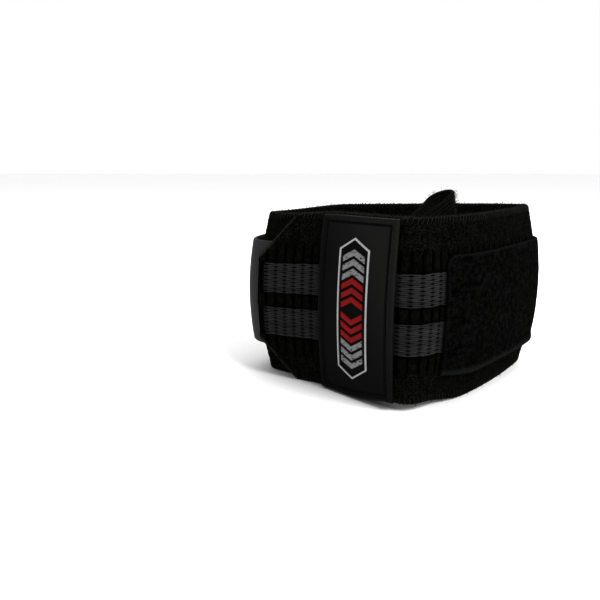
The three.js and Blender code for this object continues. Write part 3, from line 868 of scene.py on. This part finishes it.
def badgeLine():
    half, tip = badge["width"] / 2 - badge["line"] / 2, badge["length"] / 2 - badge["line"] * 0.6
    shoulder = badge["length"] / 2 - badge["point"]
    corners = np.array([
        (0, -tip), (half, -shoulder), (half, shoulder), (0, tip),
        (-half, shoulder), (-half, -shoulder), (0, -tip),
    ])
    reach = lengthOf(corners)
    places = np.unique(np.concatenate([reach, np.arange(0, reach[-1], 0.8)]))[:-1]
    line = along(places, reach, corners)
    ahead, behind = unit(np.roll(line, -1, 0) - line), unit(line - np.roll(line, 1, 0))
    quarter = np.array([(0, -1), (1, 0)])
    normals = (ahead + behind) @ quarter
    normals = normals / np.einsum("ij,ij->i", normals, ahead @ quarter)[:, None]
    # the line's section: flat seat, rounded shoulders, slightly crowned top
    section = np.array([
        (-0.5, -0.25), (-0.5, 0.6), (-0.42, 0.88), (-0.25, 1),
        (0.25, 1), (0.42, 0.88), (0.5, 0.6), (0.5, -0.25),
    ])
    spread = line[:, None] + normals[:, None] * (section[:, :1] * badge["line"])
    points = onPatch(spread[..., 0], spread[..., 1], section[:, 1] * badge["rise"] + 0 * spread[..., 0])
    index = np.arange(len(line) * len(section)).reshape(len(line), len(section))
    index = np.vstack([index, index[:1]])
    faces = quadsOf(np.hstack([index, index[:, :1]]))
    return addPiece(
        "badge_line", points.reshape(-1, 3), faces, whiteFinish, None, spread.reshape(-1, 2),
        ["badge_frame"],
    )


def chevrons(name, numbers, finish, replaced):
    half = badge["width"] / 2 - badge["line"] - badge["margin"]
    room = badge["length"] / 2 - badge["line"] - badge["margin"] - badge["point"]
    step = room / (badge["reds"] + badge["greys"])
    arm = step - badge["gap"]
    soft = badge["soft"]
    across = np.union1d(rimmed(-half, half, soft, 0.8), [0])
    x, t = np.meshgrid(across, rimmed(0, arm, soft, 0.6), indexing="ij")
    rounding = roundOff(np.minimum(half - np.abs(x), np.minimum(t, arm - t)), soft)
    allPoints, allFaces, allPlaces = [], [], []
    for side in (1, -1):
        for number in numbers:
            up = side * (number * step + badge["gap"] / 2 + badge["chevron"] * (1 - np.abs(x) / half) + t)
            top = onPatch(x, up, badge["rise"] * rounding)
            bottom = onPatch(x, up, -0.15 * rounding)
            points, faces = slab(top, bottom)
            faces = faces if side > 0 else faces[:, ::-1]
            allFaces.append(faces + len(points) * len(allPoints))
            allPoints.append(points)
            allPlaces.append(np.stack([bothFaces(x + 40 * number, x), bothFaces(up, up)], -1))
    points, faces, places = (np.vstack(group) for group in (allPoints, allFaces, allPlaces))
    return addPiece(name, points, faces, finish, None, places, replaced)


def chevronNodes(colour, count):
    return [f"badge_{colour}_{where}_{n + 1}" for where in ("upper", "lower") for n in range(count)]


badgeLine()
redNumbers, greyNumbers = range(badge["reds"]), range(badge["reds"], badge["reds"] + badge["greys"])
chevrons("badge_reds", redNumbers, redFinish, chevronNodes("red", badge["reds"]))
chevrons("badge_greys", greyNumbers, greyFinish, chevronNodes("grey", badge["greys"]))

# the loop panel: brushed pile, pressed in at its seams, with its lower selvedge curling off the band
velour = {
    "step": 0.9, "edge": 0.7, "curl": 1.2, "curlWidth": 5, "curlEnd": 8, "mottle": 0.06, "pile": 0.02,
    "selvedge": (1.2, 3.4), "topLine": (0.3, 0.9), "topShare": 0.6, "endLine": (0.3, 1), "endShare": 0.3,
}
stationRows = rimmed(panelStart, panelEnd, velour["edge"], velour["step"])
d, t = np.meshgrid(stationRows, rimmed(0, panel["width"], velour["edge"], velour["step"]), indexing="ij")
cut = np.clip(1 - (panelEnd - d) / panel["corner"], 0, 1)
cut = panel["corner"] * (1 - np.sqrt(1 - cut * cut))
h = panel["bottom"] + t * (1 - cut / panel["width"])
inside = np.minimum(np.minimum(t, panel["width"] - t), np.minimum(d - panelStart, panelEnd - d))
body = roundOff(inside, velour["edge"])
curl = velour["curl"] * (1 - smooth(t, 0, velour["curlWidth"])) * smooth(panelEnd - d, 0, velour["curlEnd"])
curl = curl * (0.75 + 0.25 * grain(d, 0 * d, 14, 5))
lift = velour["mottle"] * grain(d, h, 3.2, 3) + velour["pile"] * grain(d, h, 1.3, 4)
lift = lift * smooth(inside, 0.5, 2.5)
middleOffset = seatOffset + panel["thickness"] / 2 + curl
points, faces = slab(
    bandRoute.place(d, middleOffset + (panel["thickness"] / 2 + lift) * body, h),
    bandRoute.place(d, middleOffset - panel["thickness"] / 2 * body, h),
)
selvedge = 1 - smooth(t, *velour["selvedge"])
selvedge = selvedge + velour["topShare"] * (1 - smooth(panel["width"] - t, *velour["topLine"]))
selvedge = selvedge + velour["endShare"] * (1 - smooth(panelEnd - d, *velour["endLine"]))
masks = {"selvedge": bothFaces(selvedge, selvedge)}
panelPiece = addPiece(
    "loop_pile", points, faces, velourFinish, masks, placesOn(d, h, 500), ["loop_panel"],
)

# the hook tab: a smooth tape that leaves the tapered end, bows round the left end and lies on the panel
tape = {"step": 1.1, "edge": 0.6, "bristle": 0.12}
stationRows = rimmed(0, tabRoute.length, tape["edge"], tape["step"])
d, t = np.meshgrid(stationRows, rimmed(0, tab["width"], tape["edge"], tape["step"]), indexing="ij")
cut = tab["cornerDrop"] * np.clip(1 - (tabRoute.length - d) / tab["cornerRun"], 0, 1)
h = tab["bottom"] + cut + t * (1 - 2 * cut / tab["width"])
inside = np.minimum(np.minimum(t, tab["width"] - t), np.minimum(d, tabRoute.length - d))
body = roundOff(inside, tape["edge"]) * tab["thickness"] / 2
bristle = tape["bristle"] * grain(d, h, 1.2, 8)
points, faces = slab(tabRoute.place(d, body, h), tabRoute.place(d, -body * (1 + bristle), h))
tabPiece = addPiece(
    "hook_tape", points, faces, tapeFinish, None, placesOn(d, h, 200), ["hook_tab"],
)

# the thumb loop: a ribbed ribbon sewn inside the band's end, its bend standing above the edge
thumb = {
    "width": 8, "thickness": 1.8, "reach": 29.5, "depth": 10, "sink": 3, "tail": 9, "level": 3, "pitch": 25,
    "lean": -4, "twist": 0.5, "ridges": 6, "ridge": 0.2, "uneven": 0.05, "end": 0.8,
    "stations": 280, "rows": 34, "steps": 60,
    "hairs": 900, "hairLength": 1.5, "hairFrom": 0.22, "hairEnd": 0.85, "hairTurn": 0.4,
}
# each row: how far along the loop, how far from the wall, which of the two legs
thumbRows = np.array([
    (-1, 0.02, 0), (-0.7, 0.02, 0), (-0.4, 0.03, 0), (-0.1, 0.05, 0), (0.05, 0.08, 0), (0.3, 0.26, 0),
    (0.6, 0.3, 0), (0.84, 0.26, 0), (0.95, 0.34, 0.3), (1, 0.54, 0.6), (0.96, 0.82, 0.9), (0.85, 1, 1),
    (0.6, 0.96, 1), (0.3, 0.6, 1), (0.05, 0.12, 1), (-0.4, 0, 1), (-1, 0, 1),
])


def thumbLoop():
    wall = Route(-2 * thumb["reach"], 2 * thumb["tail"], lambda length: 0 * length)
    bandEnd = wall.length * thumb["reach"] / (thumb["reach"] + thumb["tail"])
    reach, away, layer = thumbRows.T
    way = reach * np.where(reach < 0, thumb["tail"], thumb["reach"])
    stand = layer * (thumb["thickness"] + ring["seatGap"]) + away * thumb["depth"]
    twist = math.radians(thumb["lean"]) * smooth(reach, 0, thumb["twist"])
    climb = math.tan(math.radians(thumb["pitch"])) * np.maximum(0, way - thumb["level"])
    raised = climb + np.sin(twist) * stand
    height = band["width"] - thumb["sink"] - thumb["width"] / 2 + raised
    inward = -ring["seatGap"] - thumb["thickness"] / 2 - stand
    rows = wall.place(bandEnd - way, inward, height)
    upward = unit(wall.place(bandEnd - way, inward, height + 1) - rows)
    outward = unit(wall.place(bandEnd - way, inward + 1, height) - rows)
    leaning = upward * np.cos(twist)[:, None] + outward * np.sin(twist)[:, None]
    line = bentThrough(rows, False, thumb["steps"])
    rowOf = np.linspace(0, len(rows) - 1, len(line))
    reached = lengthOf(line)
    share = np.linspace(0, 1, thumb["stations"])
    centre = along(share * reached[-1], reached, line)
    ahead = unit(np.gradient(centre, axis=0))
    lean = along(np.interp(share * reached[-1], reached, rowOf), np.arange(len(rows)), leaning)
    thin = unit(np.cross(ahead, lean))
    wide = np.cross(thin, ahead)
    travelled = share * reached[-1] / mm
    across = rimmed(-1, 1, 0.2, 2 / thumb["rows"])
    s, w = np.meshgrid(travelled, across, indexing="ij")
    ridge = np.abs(np.cos(math.pi * thumb["ridges"] * (w + 1) / 2))
    ends = roundOff(np.minimum(s, travelled[-1] - s), thumb["end"])
    fuzz = thumb["uneven"] * grain(s, w * 5, 0.8, 41)
    thick = thumb["thickness"] / 2 - thumb["ridge"] * ridge + fuzz
    half = thick * roundOff(1 - np.abs(w), 0.15) * ends * mm
    spine = centre[:, None] + wide[:, None] * (w * thumb["width"] / 2 * mm)[..., None]
    points, faces = slab(spine + thin[:, None] * half[..., None], spine - thin[:, None] * half[..., None])
    chance, count = np.random.default_rng(43), thumb["hairs"]
    first, last = int(thumb["hairFrom"] * len(s)), int(thumb["hairEnd"] * len(s))
    i, j = chance.integers(first, last, count), chance.integers(0, len(across), count)
    side = chance.choice([-1, 1], count)[:, None]
    roots = spine[i, j] + side * thin[i] * half[i, j][:, None]
    turned = chance.normal(0, thumb["hairTurn"], (count, 3))
    aims = unit(side * thin[i] + wide[i] * across[j][:, None] + turned)
    fibres("thumb_fuzz", roots, aims, thumb["hairLength"], loose["radius"], 44)
    # high: painted shade in the grooves between the ridges
    over, masks = w * thumb["width"] / 2, {"high": bothFaces(1 - ridge, 1 - ridge)}
    places = np.stack([bothFaces(s, s + 200), bothFaces(over, over + 20)], -1)
    return addPiece(
        "thumb_elastic", points, faces, elasticFinish, masks, places, ["thumb_loop"],
    )


thumbLoop()

# stage and light
stage = {"floor": 0.95, "paler": 0.02, "reach": 4, "world": 1.0, "gamma": 0.6, "aim": (0, 0, 0.04)}
lights = [
    {"name": "key", "place": (0.5, -0.5, 0.85), "size": 0.5, "power": 9},
    {"name": "rim", "place": (0.3, 0.8, 0.7), "size": 0.6, "power": 3},
]
floorMesh = bpy.data.meshes.new("stage_floor")
reach = stage["reach"]
corners = [(-reach, -reach, 0), (reach, -reach, 0), (reach, reach, 0), (-reach, reach, 0)]
floorMesh.from_pydata(corners, [], [(0, 1, 2, 3)])
floorFinish = Finish("pale_floor", Roughness=0.9, Specular_IOR_Level=0.1)
tint = floorFinish.noise(floorFinish.inSpace(), 400, 2)
pale = floorFinish.blend(tint, grey(stage["floor"]), grey(stage["floor"] + stage["paler"]))
floorMesh.materials.append(floorFinish.wears(pale))
floor = bpy.data.objects.new("stage_floor", floorMesh)
bpy.context.scene.collection.objects.link(floor)

for lamp in lights:
    data = bpy.data.lights.new(lamp["name"], "AREA")
    data.energy, data.size = lamp["power"], lamp["size"]
    made = bpy.data.objects.new(lamp["name"], data)
    made.location = lamp["place"]
    aim = bpy.data.objects["camera"].location.copy()
    aim[:] = stage["aim"]
    made.rotation_euler = (aim - made.location).to_track_quat("-Z", "Y").to_euler()
    bpy.context.scene.collection.objects.link(made)

world = bpy.data.worlds.new("studio")
world.use_nodes = True
world.node_tree.nodes["Background"].inputs[0].default_value = (1, 1, 1, 1)
world.node_tree.nodes["Background"].inputs[1].default_value = stage["world"]
bpy.context.scene.world = world
bpy.context.scene.view_settings.view_transform = "Standard"
bpy.context.scene.view_settings.gamma = stage["gamma"]
